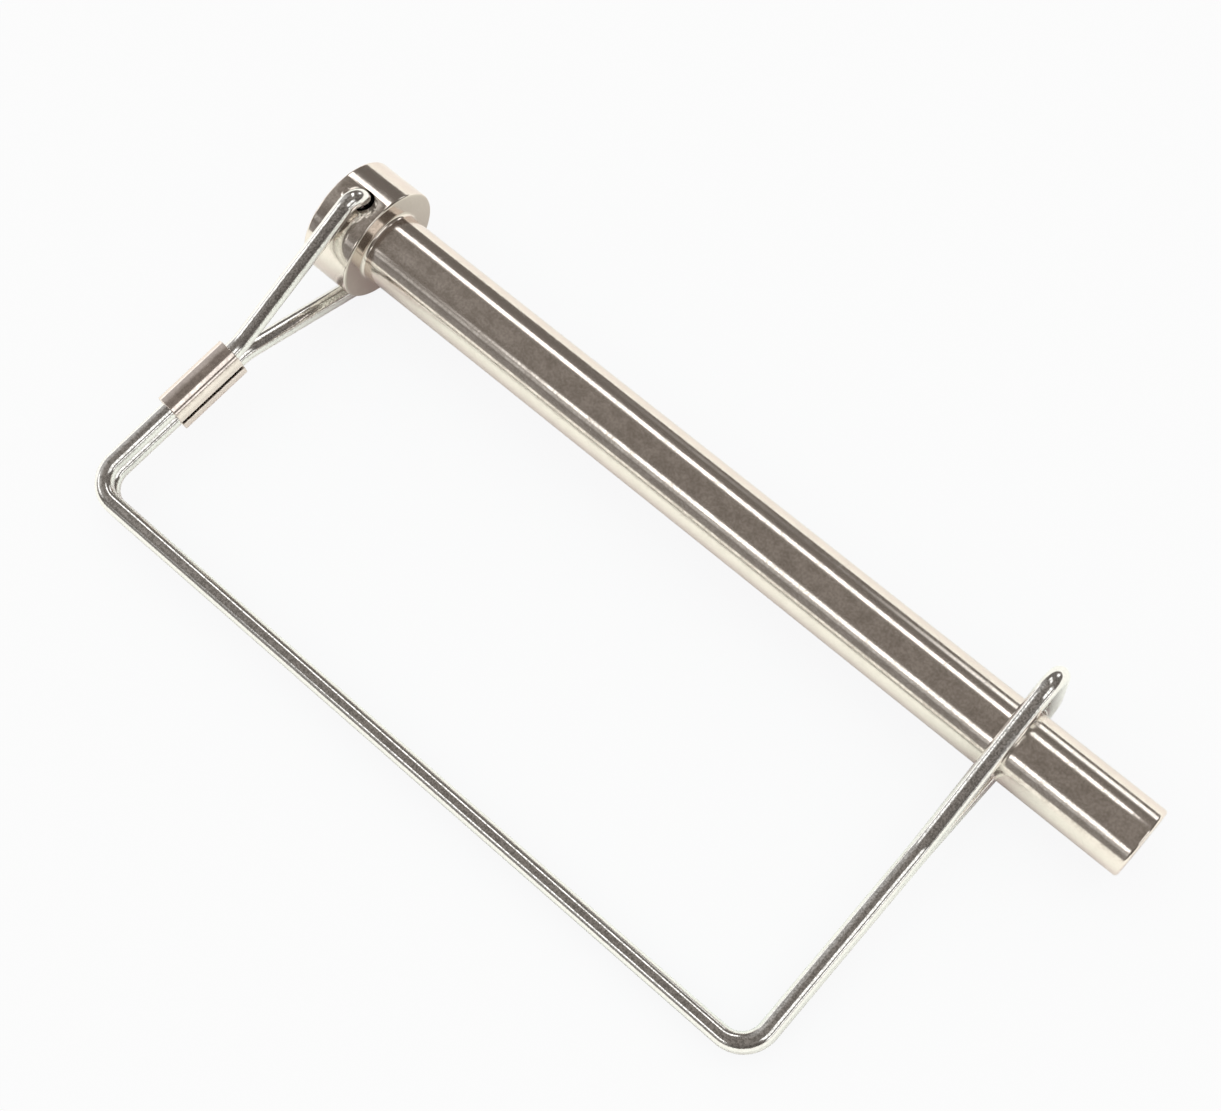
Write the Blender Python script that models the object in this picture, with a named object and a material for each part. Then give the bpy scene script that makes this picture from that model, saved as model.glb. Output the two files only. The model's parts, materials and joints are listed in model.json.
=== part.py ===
"""Snap pin: a turned steel pin with a headed end and a square spring-wire bail.

The pin's head is cross-drilled, and both ends of one bent wire hook into that hole from
opposite sides.  The wire runs as two touching strands round a rectangle, under a crimped
sleeve beside the head, and ends in a wedge-shaped loop that stands round the shank.

Construction frame, before the object is laid down: the middle of the head's shoulder is
the origin, +X runs along the pin to its tip, the bail lies at -Y in the plane z = 0.
"""

import math

import bmesh
import bpy
from mathutils import Matrix, Vector

MM = 0.001

# Turned pin
SHANK_D = 9.5 * MM
SHANK_LENGTH = 118.3 * MM
HEAD_D = 15.7 * MM
HEAD_LENGTH = 7.35 * MM
HEAD_BACK_EDGE = 0.3 * MM
HEAD_FRONT_EDGE = 0.45 * MM
SHOULDER_FILLET = 0.95 * MM
TIP_CHAMFER = 0.4 * MM
PIN_SIDES = 48

# Cross hole through the head, and the pin's roll about its own axis against the bail
HOLE_X = -3.3 * MM
HOLE_D = 3.1 * MM
HOLE_SIDES = 32
PIN_ROLL = math.radians(7.2)

# Spring wire
WIRE_D = 2.4 * MM
STRAND_GAP = 0.1 * MM
WIRE_RING = 16
BEND_STEP = math.radians(10.0)

# Bail outline, on the wire's centre line
LONG_SIDE_Y = -47.3 * MM
HEAD_SIDE_X = -7.07 * MM
HEAD_SIDE_SLOPE = 0.075
LOOP_SIDE_X = 99.62 * MM
CORNER_RADIUS = 3.8 * MM

# Legs that hook into the head
WIRE_END_DEPTH = 2.0 * MM
HOOK_REACH = 10.55 * MM
HOOK_RADIUS = 1.8 * MM
LEG_START_Y = -22.0 * MM
LEG_RADIUS = 6.0 * MM

# Wedge-shaped loop round the shank
KINK_Y = -16.8 * MM
KINK_RADIUS = 8.0 * MM
PRONG_SLOPE = 0.312
LOOP_END_Y = 8.25 * MM
LOOP_CORNER_RADIUS = 3.0 * MM

# Crimped sleeve
SLEEVE_THICKNESS = 0.62 * MM
SLEEVE_CLEARANCE = 0.22 * MM
SLEEVE_LOW_Y = -33.95 * MM
SLEEVE_HIGH_Y = -23.4 * MM
SEAM_GAP = 0.8 * MM
SLEEVE_EDGE = 0.08 * MM
SLEEVE_ARC_STEPS = 12

# Search for the three points that the object rests on
FOOT_REACH = 9.0 * MM
FOOT_PASSES = 8

STEEL = (0.60, 0.57, 0.54, 1.0)
WIRE_STEEL = (0.52, 0.51, 0.48, 1.0)
SLEEVE_STEEL = (0.66, 0.61, 0.56, 1.0)


def clear_scene():
    """Remove every object that the scene already holds."""
    for obj in list(bpy.data.objects):
        bpy.data.objects.remove(obj, do_unlink=True)


def metal(name, colour, roughness):
    """A metallic Principled material."""
    material = bpy.data.materials.new(name)
    material.use_nodes = True
    shader = material.node_tree.nodes["Principled BSDF"]
    shader.inputs["Base Color"].default_value = colour
    shader.inputs["Metallic"].default_value = 1.0
    shader.inputs["Roughness"].default_value = roughness
    return material


def add_object(name, data, parent=None):
    """Link an object that holds the given data."""
    obj = bpy.data.objects.new(name, data)
    bpy.context.scene.collection.objects.link(obj)
    obj.parent = parent
    return obj


def mesh_from(bm, name):
    """Turn a bmesh into a smooth-shaded mesh and free it."""
    mesh = bpy.data.meshes.new(name)
    bm.to_mesh(mesh)
    bm.free()
    mesh.shade_smooth()
    mesh.set_sharp_from_angle(angle=math.radians(30.0))
    return mesh


def arc(cx, cy, radius, start_deg, end_deg, steps):
    """Points of a plane arc, both ends included."""
    points = []
    for i in range(steps + 1):
        angle = math.radians(start_deg + (end_deg - start_deg) * i / steps)
        points.append((cx + radius * math.cos(angle), cy + radius * math.sin(angle)))
    return points


def pin_profile():
    """Half outline of the pin as (x, radius) points, from the head's face to the tip."""
    head_r = HEAD_D / 2
    shank_r = SHANK_D / 2
    back_x = -HEAD_LENGTH
    outline = [(back_x, 0.0)]
    outline += arc(back_x + HEAD_BACK_EDGE, head_r - HEAD_BACK_EDGE, HEAD_BACK_EDGE, 180, 90, 3)
    outline += arc(-HEAD_FRONT_EDGE, head_r - HEAD_FRONT_EDGE, HEAD_FRONT_EDGE, 90, 0, 4)
    outline += arc(SHOULDER_FILLET, shank_r + SHOULDER_FILLET, SHOULDER_FILLET, 180, 270, 6)
    outline.append((SHANK_LENGTH - TIP_CHAMFER, shank_r))
    outline.append((SHANK_LENGTH, shank_r - TIP_CHAMFER))
    outline.append((SHANK_LENGTH, 0.0))
    return outline


def cross_hole_cutter(parent):
    """Drill for the cross hole, along the pin's own Z."""
    bm = bmesh.new()
    bmesh.ops.create_cone(
        bm, cap_ends=True, segments=HOLE_SIDES,
        radius1=HOLE_D / 2, radius2=HOLE_D / 2, depth=1.5 * HEAD_D,
    )
    cutter = add_object("cross_hole_drill", mesh_from(bm, "cross_hole_drill"), parent)
    cutter.location = (HOLE_X, 0.0, 0.0)
    cutter.hide_render = True
    cutter.display_type = "WIRE"
    return cutter


def make_pin(parent):
    """Turned pin: one profile spun round X, with the head cross-drilled."""
    bm = bmesh.new()
    verts = [bm.verts.new((x, r, 0.0)) for x, r in pin_profile()]
    edges = [bm.edges.new(pair) for pair in zip(verts, verts[1:])]
    bmesh.ops.spin(
        bm, geom=verts + edges, cent=(0, 0, 0), axis=(1, 0, 0),
        angle=2 * math.pi, steps=PIN_SIDES, use_merge=True,
    )
    bmesh.ops.remove_doubles(bm, verts=bm.verts, dist=0.001 * MM)
    bmesh.ops.recalc_face_normals(bm, faces=bm.faces)
    pin = add_object("pin", mesh_from(bm, "pin"), parent)
    pin.rotation_euler.x = -PIN_ROLL
    pin.data.materials.append(metal("polished_steel", STEEL, 0.18))
    drill = pin.modifiers.new("cross_hole", "BOOLEAN")
    drill.operation = "DIFFERENCE"
    drill.solver = "EXACT"
    drill.object = cross_hole_cutter(pin)
    return pin


def rounded_path(corners):
    """Centre line through (point, bend radius) corners, with each bend as an arc."""
    path = [corners[0][0]]
    for (before, _), (corner, radius), (after, _) in zip(corners, corners[1:], corners[2:]):
        back = (before - corner).normalized()
        ahead = (after - corner).normalized()
        half = back.angle(ahead) / 2
        centre = corner + (back + ahead).normalized() * radius / math.sin(half)
        start = corner + back * radius / math.tan(half) - centre
        turn = math.pi - 2 * half
        axis = back.cross(ahead)
        steps = max(2, math.ceil(turn / BEND_STEP))
        for i in range(steps + 1):
            path.append(centre + Matrix.Rotation(-turn * i / steps, 3, axis) @ start)
    path.append(corners[-1][0])
    return path


def head_side_x(y):
    """X of the bail's slightly slanted side beside the head."""
    return HEAD_SIDE_X + HEAD_SIDE_SLOPE * (y - LONG_SIDE_Y)


def hole_point(distance):
    """Point on the cross hole's axis, at a distance from the pin's axis."""
    return Vector((HOLE_X, math.sin(PIN_ROLL) * distance, math.cos(PIN_ROLL) * distance))


def strand_corners(side):
    """Corners of one strand, from its end in the head to the loop; side is +1 or -1."""
    z = side * (WIRE_D + STRAND_GAP) / 2
    end_z = z + side * PRONG_SLOPE * (LOOP_END_Y - KINK_Y)
    return [
        (hole_point(side * WIRE_END_DEPTH), 0.0),
        (hole_point(side * HOOK_REACH), HOOK_RADIUS),
        (Vector((head_side_x(LEG_START_Y), LEG_START_Y, z)), LEG_RADIUS),
        (Vector((head_side_x(LONG_SIDE_Y), LONG_SIDE_Y, z)), CORNER_RADIUS),
        (Vector((LOOP_SIDE_X, LONG_SIDE_Y, z)), CORNER_RADIUS),
        (Vector((LOOP_SIDE_X, KINK_Y, z)), KINK_RADIUS),
        (Vector((LOOP_SIDE_X, LOOP_END_Y, end_z)), LOOP_CORNER_RADIUS),
    ]


def make_wire(parent, pivot):
    """Bail: one round wire, from the head along one strand, round the loop and back."""
    corners = strand_corners(1) + strand_corners(-1)[::-1]
    path = [point - pivot for point in rounded_path(corners)]
    curve = bpy.data.curves.new("wire_bail", "CURVE")
    curve.dimensions = "3D"
    curve.bevel_depth = WIRE_D / 2
    curve.bevel_resolution = (WIRE_RING - 4) // 2
    curve.use_fill_caps = True
    spline = curve.splines.new("POLY")
    spline.points.add(len(path) - 1)
    for spline_point, point in zip(spline.points, path):
        spline_point.co = (*point, 1.0)
    curve.materials.append(metal("spring_wire", WIRE_STEEL, 0.24))
    return add_object("wire_bail", curve, parent)


def sleeve_outline():
    """Open section of the sleeve's middle surface: an oval round both strands, with a seam."""
    half_width = WIRE_D / 2 + SLEEVE_CLEARANCE + SLEEVE_THICKNESS / 2
    strand_z = (WIRE_D + STRAND_GAP) / 2
    outline = [(half_width, SEAM_GAP / 2)]
    outline += arc(0.0, strand_z, half_width, 0, 180, SLEEVE_ARC_STEPS)
    outline += arc(0.0, -strand_z, half_width, 180, 360, SLEEVE_ARC_STEPS)
    outline.append((half_width, -SEAM_GAP / 2))
    return outline


def make_sleeve(parent, pivot):
    """Crimped sleeve: a strip of sheet wrapped round both strands beside the head."""
    low = Vector((head_side_x(SLEEVE_LOW_Y), SLEEVE_LOW_Y, 0.0))
    high = Vector((head_side_x(SLEEVE_HIGH_Y), SLEEVE_HIGH_Y, 0.0))
    along = (high - low).normalized()
    across = along.cross(Vector((0, 0, 1)))
    bm = bmesh.new()
    verts = [bm.verts.new(low + across * u + Vector((0, 0, z))) for u, z in sleeve_outline()]
    edges = [bm.edges.new(pair) for pair in zip(verts, verts[1:])]
    bmesh.ops.extrude_edge_only(bm, edges=edges)
    drawn = [vert for vert in bm.verts if vert not in verts]
    bmesh.ops.translate(bm, vec=high - low, verts=drawn)
    bmesh.ops.translate(bm, vec=-pivot, verts=bm.verts)
    bmesh.ops.recalc_face_normals(bm, faces=bm.faces)
    sleeve = add_object("crimp_sleeve", mesh_from(bm, "crimp_sleeve"), parent)
    sleeve.data.materials.append(metal("sleeve_steel", SLEEVE_STEEL, 0.2))
    wall = sleeve.modifiers.new("sheet", "SOLIDIFY")
    wall.thickness = SLEEVE_THICKNESS
    wall.offset = 0.0
    wall.use_even_offset = True
    edge = sleeve.modifiers.new("deburred_edges", "BEVEL")
    edge.width = SLEEVE_EDGE
    edge.segments = 1
    edge.limit_method = "ANGLE"
    edge.angle_limit = math.radians(60.0)
    return sleeve


def world_points(obj):
    """Every vertex of an object as the viewport shows it, in world space."""
    evaluated = obj.evaluated_get(bpy.context.evaluated_depsgraph_get())
    mesh = evaluated.to_mesh()
    points = [evaluated.matrix_world @ vert.co for vert in mesh.vertices]
    evaluated.to_mesh_clear()
    return points


def resting_rotation(wire):
    """Rotation that lays the object on its three low points, with the pin along X.

    Those are the lower hook under the head, the loop's lower corner and the far corner
    of the lower strand: the object's weight lies inside the triangle between them.
    """
    places = [hole_point(-HOOK_REACH), strand_corners(-1)[-1][0], strand_corners(-1)[4][0]]
    wire_points = world_points(wire)
    regions = [[p for p in wire_points if (p - place).length < FOOT_REACH] for place in places]
    up = Vector((0, 0, 1))
    for _ in range(FOOT_PASSES):
        hook, loop, corner = [min(region, key=up.dot) for region in regions]
        up = (corner - hook).cross(loop - hook).normalized()
    upright = up.rotation_difference(Vector((0, 0, 1))).to_matrix()
    pin_axis = upright @ Vector((1, 0, 0))
    return Matrix.Rotation(-math.atan2(pin_axis.y, pin_axis.x), 3, "Z") @ upright


def lay_down(root, pieces, wire):
    """Lay the object on the plane z = 0, with the middle of its outline at the origin."""
    root.matrix_world = resting_rotation(wire).to_4x4()
    bpy.context.view_layer.update()
    points = [point for piece in pieces for point in world_points(piece)]
    low = [min(point[i] for point in points) for i in range(3)]
    high = [max(point[i] for point in points) for i in range(3)]
    centre = Vector(((low[0] + high[0]) / 2, (low[1] + high[1]) / 2, low[2]))
    root.matrix_world = Matrix.Translation(-centre) @ root.matrix_world
    bpy.context.view_layer.update()


def main():
    """Build the snap pin."""
    clear_scene()
    root = add_object("resting_pose", None)
    pivot = Vector((HOLE_X, 0.0, 0.0))
    hinge = add_object("bail_hinge", None, root)
    hinge.location = pivot
    pin = make_pin(root)
    wire = make_wire(hinge, pivot)
    sleeve = make_sleeve(hinge, pivot)
    bpy.context.view_layer.update()
    lay_down(root, [pin, wire, sleeve], wire)


main()
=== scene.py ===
import json
import math
from typing import NamedTuple

import bmesh
import bpy
from bpy.props import FloatProperty, FloatVectorProperty, IntProperty, PointerProperty
from mathutils import Matrix, Vector


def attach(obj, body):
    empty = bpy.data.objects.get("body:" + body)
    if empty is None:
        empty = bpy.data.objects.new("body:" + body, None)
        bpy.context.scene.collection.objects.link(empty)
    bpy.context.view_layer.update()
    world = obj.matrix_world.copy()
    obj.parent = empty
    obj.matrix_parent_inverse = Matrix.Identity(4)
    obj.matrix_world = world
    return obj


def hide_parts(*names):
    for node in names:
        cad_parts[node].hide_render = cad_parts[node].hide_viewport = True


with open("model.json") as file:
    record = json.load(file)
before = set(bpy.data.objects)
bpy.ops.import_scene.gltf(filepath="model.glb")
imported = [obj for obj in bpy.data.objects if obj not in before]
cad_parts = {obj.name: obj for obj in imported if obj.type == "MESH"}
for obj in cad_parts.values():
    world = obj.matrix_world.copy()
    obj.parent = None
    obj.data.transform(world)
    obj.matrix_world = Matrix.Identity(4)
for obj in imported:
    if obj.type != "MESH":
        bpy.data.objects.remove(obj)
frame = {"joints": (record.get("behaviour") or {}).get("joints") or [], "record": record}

bl_info = {
    "name": "Snap Pin",
    "version": (1, 0, 0),
    "blender": (4, 5, 0),
    "location": "3D View > Sidebar > Snap Pin",
    "description": "Builds a plated snap pin with a spring-wire bail and sets its studio",
    "category": "Object",
}

# Lengths are in metres and angles in radians, apart from the soft boxes' degrees. The
# patterns of the finishes count in millimetres.
MM = 0.001
WHITE = (1.0, 1.0, 1.0)
BLACK = (0.0, 0.0, 0.0)

# Edges that turn by more than this stay crisp
CRISP_ANGLE = math.radians(35.0)
# Vertices that lie closer together than this are one vertex
MERGE_DISTANCE = 0.0005 * MM


# --------------------------------------------------------------------------------------
# Placement
# --------------------------------------------------------------------------------------

def named(rows, name):
    """The joint or mount of the frame that has this name."""
    return next(row for row in rows if row["name"] == name)


def drilled_frame():
    """The pin's own frame in the world: X to the tip, Z along the cross hole.

    Its origin is the middle of the head's shoulder.
    """
    hinge = named(frame["joints"], "bail_swing")
    tip = named(frame["record"]["mounts"], "tip_face")
    hole = Vector(hinge["axis"]).normalized()
    along = Vector(tip["axis"])
    along = (along - along.dot(hole) * hole).normalized()
    turn = Matrix((along, hole.cross(along), hole)).transposed().to_4x4()
    origin = Vector(hinge["pos_m"]) - along * bpy.context.scene.snap_pin.hole_x
    return Matrix.Translation(origin) @ turn


def bail_frame():
    """The bail's frame in the world: X along the pin, the wire's plane at z = 0."""
    return drilled_frame() @ Matrix.Rotation(bpy.context.scene.snap_pin.roll, 4, "X")


def add_piece(name, mesh, material):
    """Add a finished mesh with its material."""
    piece = bpy.data.objects.new(name, mesh)
    bpy.context.scene.collection.objects.link(piece)
    piece.data.materials.append(material)
    return piece


def hand_over(piece, body, node):
    """Let a piece move with its body and stand for its node."""
    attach(piece, body)
    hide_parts(node)


def smooth_mesh(bm, name):
    """Turn a bmesh into a smooth-shaded mesh whose sharper edges stay crisp."""
    mesh = bpy.data.meshes.new(name)
    bm.to_mesh(mesh)
    bm.free()
    mesh.shade_smooth()
    mesh.set_sharp_from_angle(angle=CRISP_ANGLE)
    return mesh


def keep_flats_flat(piece):
    """Weight the shading by face area, so that narrow rounded edges don't shade the flats."""
    flats = piece.modifiers.new("flat_faces_stay_flat", "WEIGHTED_NORMAL")
    flats.mode = "FACE_AREA"
    flats.keep_sharp = True


# --------------------------------------------------------------------------------------
# Turned pin
# --------------------------------------------------------------------------------------

# How far a vertex may lie from a turned edge and still be part of it
RING_TOLERANCE = 0.01 * MM
# Faces across a rounded edge and across the shoulder's fillet
EDGE_SEGMENTS = 6
FILLET_SEGMENTS = 10
# Rings of faces along the shank, which keep its faces from being long slivers
SHANK_RINGS = 24
DRILL_SIDES = 96


def ring_edges(bm, x, radius):
    """Edges of the circle that lies at a place along the pin and a distance from its axis."""
    def on_ring(vert):
        off_ring = math.hypot(vert.co.y, vert.co.z) - radius
        return abs(vert.co.x - x) < RING_TOLERANCE and abs(off_ring) < RING_TOLERANCE
    return [edge for edge in bm.edges if all(on_ring(vert) for vert in edge.verts)]


def round_ring(bm, x, radius, edge_radius, segments):
    """Round one turned edge, or fill one turned corner, with an even radius."""
    bmesh.ops.bevel(
        bm, geom=ring_edges(bm, x, radius), offset=edge_radius, offset_type="OFFSET",
        segments=segments, profile=0.5, affect="EDGES", clamp_overlap=True, material=-1,
    )


def turned_body(pin):
    """Spin the pin's outline, from its head's face to its tip, round X and round its edges."""
    head_r, shank_r = pin.head_diameter / 2, pin.shank_diameter / 2
    outline = [
        (-pin.head_length, 0.0), (-pin.head_length, head_r), (0.0, head_r),
        (0.0, shank_r), (pin.shank_length, shank_r), (pin.shank_length, 0.0),
    ]
    bm = bmesh.new()
    verts = [bm.verts.new((x, r, 0.0)) for x, r in outline]
    edges = [bm.edges.new(pair) for pair in zip(verts, verts[1:])]
    shank = edges[3]
    bmesh.ops.subdivide_edges(bm, edges=[shank], cuts=SHANK_RINGS - 1)
    bmesh.ops.spin(
        bm, geom=bm.verts[:] + bm.edges[:], cent=(0, 0, 0), axis=(1, 0, 0),
        angle=2 * math.pi, steps=pin.turning_steps, use_merge=True,
    )
    bmesh.ops.remove_doubles(bm, verts=bm.verts, dist=MERGE_DISTANCE)
    bmesh.ops.recalc_face_normals(bm, faces=bm.faces)
    round_ring(bm, -pin.head_length, head_r, pin.head_back_edge, EDGE_SEGMENTS)
    round_ring(bm, 0.0, head_r, pin.head_front_edge, EDGE_SEGMENTS)
    round_ring(bm, 0.0, shank_r, pin.shoulder_fillet, FILLET_SEGMENTS)
    round_ring(bm, pin.shank_length, shank_r, pin.tip_edge, EDGE_SEGMENTS)
    return bm


def drill(pin):
    """Drill for the cross hole, with a flare at both ends that takes off the burr."""
    head_r, hole_r = pin.head_diameter / 2, pin.hole_diameter / 2
    lowest_mouth = math.sqrt(head_r ** 2 - hole_r ** 2)
    start = lowest_mouth - pin.hole_deburr
    end = head_r + pin.hole_deburr
    wide_r = hole_r + pin.hole_flare * (end - start)
    outline = [(0.0, hole_r), (start, hole_r), (end, wide_r), (end, 0.0)]
    bm = bmesh.new()
    verts = [bm.verts.new((pin.hole_x + r, 0.0, z)) for z, r in outline]
    edges = [bm.edges.new(pair) for pair in zip(verts, verts[1:])]
    bmesh.ops.mirror(bm, geom=verts + edges, axis="Z", merge_dist=MERGE_DISTANCE)
    bmesh.ops.spin(
        bm, geom=bm.verts[:] + bm.edges[:], cent=(pin.hole_x, 0, 0), axis=(0, 0, 1),
        angle=2 * math.pi, steps=DRILL_SIDES, use_merge=True,
    )
    bmesh.ops.remove_doubles(bm, verts=bm.verts, dist=MERGE_DISTANCE)
    bmesh.ops.recalc_face_normals(bm, faces=bm.faces)
    return smooth_mesh(bm, "cross_hole_drill")


def drilled_mesh(pin):
    """Mesh of the turned body with the cross hole cut through its head."""
    blank = bpy.data.objects.new("turned_blank", smooth_mesh(turned_body(pin), "turned_blank"))
    cutter = bpy.data.objects.new("cross_hole_drill", drill(pin))
    for obj in (blank, cutter):
        bpy.context.scene.collection.objects.link(obj)
    cut = blank.modifiers.new("cross_hole", "BOOLEAN")
    cut.operation = "DIFFERENCE"
    cut.solver = "EXACT"
    cut.object = cutter
    view = blank.evaluated_get(bpy.context.evaluated_depsgraph_get())
    mesh = bpy.data.meshes.new_from_object(view)
    for obj in (blank, cutter):
        bpy.data.objects.remove(obj, do_unlink=True)
    return mesh


# --------------------------------------------------------------------------------------
# Spring-wire bail
# --------------------------------------------------------------------------------------

def head_side_x(wire, y):
    """X of the bail's slightly slanted side beside the head."""
    return wire.head_side_x + wire.head_side_slope * (y - wire.long_side_y)


def hole_point(distance):
    """Point on the cross hole's axis in the bail's frame, at a distance from the pin's axis."""
    pin = bpy.context.scene.snap_pin
    return Vector((pin.hole_x, math.sin(pin.roll) * distance, math.cos(pin.roll) * distance))


def strand_corners(wire, side):
    """Corners and bend radii of one strand, from its end in the head to the loop.

    side is 1 for the upper strand and -1 for the lower one.
    """
    z = side * (wire.diameter + wire.strand_gap) / 2
    end_z = z + side * wire.prong_slope * (wire.loop_end_y - wire.kink_y)
    return [
        (hole_point(side * wire.end_depth), 0.0),
        (hole_point(side * wire.hook_reach), wire.hook_radius),
        (Vector((head_side_x(wire, wire.leg_start_y), wire.leg_start_y, z)), wire.leg_radius),
        (Vector((head_side_x(wire, wire.long_side_y), wire.long_side_y, z)), wire.corner_radius),
        (Vector((wire.loop_side_x, wire.long_side_y, z)), wire.corner_radius),
        (Vector((wire.loop_side_x, wire.kink_y, z)), wire.kink_radius),
        (Vector((wire.loop_side_x, wire.loop_end_y, end_z)), wire.loop_corner_radius),
    ]


def first_ring(bm, wire, start, ahead):
    """Wire's cut end: a circle square to the way ahead.

    The drawn value of a vertex is its place on the wire in millimetres: X and Y across
    the wire, and Z along it from this end.
    """
    turn = ahead.to_track_quat("Z", "Y").to_matrix().to_4x4()
    drawn = bm.verts.layers.float_vector.new("drawn")
    made = bmesh.ops.create_circle(
        bm, cap_ends=False, segments=wire.ring_sides, radius=wire.diameter / 2
    )
    for vert in made["verts"]:
        vert[drawn] = vert.co / MM
    bmesh.ops.transform(bm, matrix=Matrix.Translation(start) @ turn, verts=made["verts"])
    return bm.edges[:]


def sweep(bm, ring, advance, move):
    """Draw the wire on by one more ring of vertices, which move puts in its place."""
    drawn = bm.verts.layers.float_vector["drawn"]
    made = bmesh.ops.extrude_edge_only(bm, edges=ring)["geom"]
    verts = [item for item in made if isinstance(item, bmesh.types.BMVert)]
    move(verts)
    for vert in verts:
        vert[drawn].z += advance / MM
    return [item for item in made if isinstance(item, bmesh.types.BMEdge)
            and all(vert in verts for vert in item.verts)]


def run_straight(bm, wire, ring, start, end):
    """Draw the wire straight from one point to another."""
    steps = max(1, round((end - start).length / wire.straight_step))
    part = (end - start) / steps
    for _ in range(steps):
        ring = sweep(
            bm, ring, part.length, lambda verts: bmesh.ops.translate(bm, vec=part, verts=verts)
        )
    return ring


def run_bend(bm, wire, ring, centre, axis, turn, radius):
    """Bend the wire round a centre."""
    steps = max(2, math.ceil(turn / wire.bend_step))
    part = Matrix.Rotation(turn / steps, 3, axis)
    for _ in range(steps):
        ring = sweep(
            bm, ring, radius * turn / steps,
            lambda verts: bmesh.ops.rotate(bm, cent=centre, matrix=part, verts=verts),
        )
    return ring


def bent_wire(wire):
    """One round wire, from the head along one strand, round the loop and back."""
    corners = strand_corners(wire, 1) + strand_corners(wire, -1)[::-1]
    bm = bmesh.new()
    here = corners[0][0]
    ring = first_ring(bm, wire, here, (corners[1][0] - here).normalized())
    start_ring = ring
    for (before, _), (corner, radius), (after, _) in zip(corners, corners[1:], corners[2:]):
        back = (before - corner).normalized()
        ahead = (after - corner).normalized()
        half = back.angle(ahead) / 2
        centre = corner + (back + ahead).normalized() * radius / math.sin(half)
        bend_start = corner + back * radius / math.tan(half)
        ring = run_straight(bm, wire, ring, here, bend_start)
        axis = ahead.cross(back).normalized()
        ring = run_bend(bm, wire, ring, centre, axis, math.pi - 2 * half, radius)
        here = corner + ahead * radius / math.tan(half)
    ring = run_straight(bm, wire, ring, here, corners[-1][0])
    bmesh.ops.edgeloop_fill(bm, edges=start_ring)
    bmesh.ops.edgeloop_fill(bm, edges=ring)
    bmesh.ops.recalc_face_normals(bm, faces=bm.faces)
    return bm


# --------------------------------------------------------------------------------------
# Crimped sleeve
# --------------------------------------------------------------------------------------

def half_circle_on(bm, vert, centre, steps):
    """Carry an open outline on by a half circle, and give back its last vertex."""
    made = bmesh.ops.spin(
        bm, geom=[vert], cent=centre, axis=(0, 1, 0), angle=-math.pi, steps=steps,
        use_merge=False,
    )
    return next(item for item in made["geom_last"] if isinstance(item, bmesh.types.BMVert))


def line_on(bm, vert, vec):
    """Carry an open outline on by a straight line, and give back its last vertex."""
    made = bmesh.ops.extrude_vert_indiv(bm, verts=[vert])
    bmesh.ops.translate(bm, vec=vec, verts=made["verts"])
    return made["verts"][0]


def wrapped_sheet(sleeve, wire):
    """Strip of sheet wrapped round both strands, with its seam open towards the tip."""
    strand_z = (wire.diameter + wire.strand_gap) / 2
    reach = wire.diameter / 2 + sleeve.clearance + sleeve.thickness / 2
    lip = strand_z - sleeve.seam_gap / 2
    bm = bmesh.new()
    last = bm.verts.new((reach, 0.0, sleeve.seam_gap / 2))
    last = line_on(bm, last, (0, 0, lip))
    last = half_circle_on(bm, last, (0, 0, strand_z), sleeve.arc_steps)
    last = line_on(bm, last, (0, 0, -2 * strand_z))
    last = half_circle_on(bm, last, (0, 0, -strand_z), sleeve.arc_steps)
    line_on(bm, last, (0, 0, lip))
    made = bmesh.ops.extrude_edge_only(bm, edges=bm.edges[:])["geom"]
    near_end = [item for item in made if isinstance(item, bmesh.types.BMVert)]
    bmesh.ops.translate(bm, vec=(0, sleeve.high_y - sleeve.low_y, 0), verts=near_end)
    bmesh.ops.recalc_face_normals(bm, faces=bm.faces)
    low = Vector((head_side_x(wire, sleeve.low_y), sleeve.low_y, 0.0))
    slant = Matrix.Rotation(-math.atan(wire.head_side_slope), 4, "Z")
    place = bail_frame() @ Matrix.Translation(low) @ slant
    bmesh.ops.transform(bm, matrix=place, verts=bm.verts)
    return bm


def give_thickness(piece, sleeve):
    """Make the wrapped strip a sheet with rounded edges."""
    sheet = piece.modifiers.new("sheet", "SOLIDIFY")
    sheet.thickness = sleeve.thickness
    sheet.offset = 0.0
    sheet.use_even_offset = True
    edges = piece.modifiers.new("rounded_edges", "BEVEL")
    edges.width = sleeve.edge
    edges.segments = 4
    edges.limit_method = "ANGLE"
    edges.angle_limit = math.radians(60.0)
    edges.harden_normals = True


# --------------------------------------------------------------------------------------
# Node helpers
# --------------------------------------------------------------------------------------

def add_node(tree, kind, inputs=None, **settings):
    """Add a node, set it up, and feed its inputs with values or with other nodes' outputs."""
    node = tree.nodes.new(kind)
    for name, value in settings.items():
        setattr(node, name, value)
    for name, value in (inputs or {}).items():
        socket = node.inputs[name]
        if isinstance(value, bpy.types.NodeSocket):
            tree.links.new(value, socket)
        else:
            socket.default_value = value
    return node


def calculate(tree, operation, *values):
    """One Math node; gives its output."""
    node = add_node(tree, "ShaderNodeMath", dict(enumerate(values)), operation=operation)
    return node.outputs["Value"]


def add_up(tree, total, *parts):
    """A starting value and each part times its amount, added up."""
    for part, amount in parts:
        total = calculate(tree, "MULTIPLY_ADD", part, amount, total)
    return total


def soft_step(tree, value, zero_at, one_at):
    """Smooth change from 0 at one value to 1 at another, which may be the lower one."""
    node = add_node(
        tree, "ShaderNodeMapRange",
        {"Value": value, "From Min": zero_at, "From Max": one_at},
        interpolation_type="SMOOTHSTEP",
    )
    return node.outputs["Result"]


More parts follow.
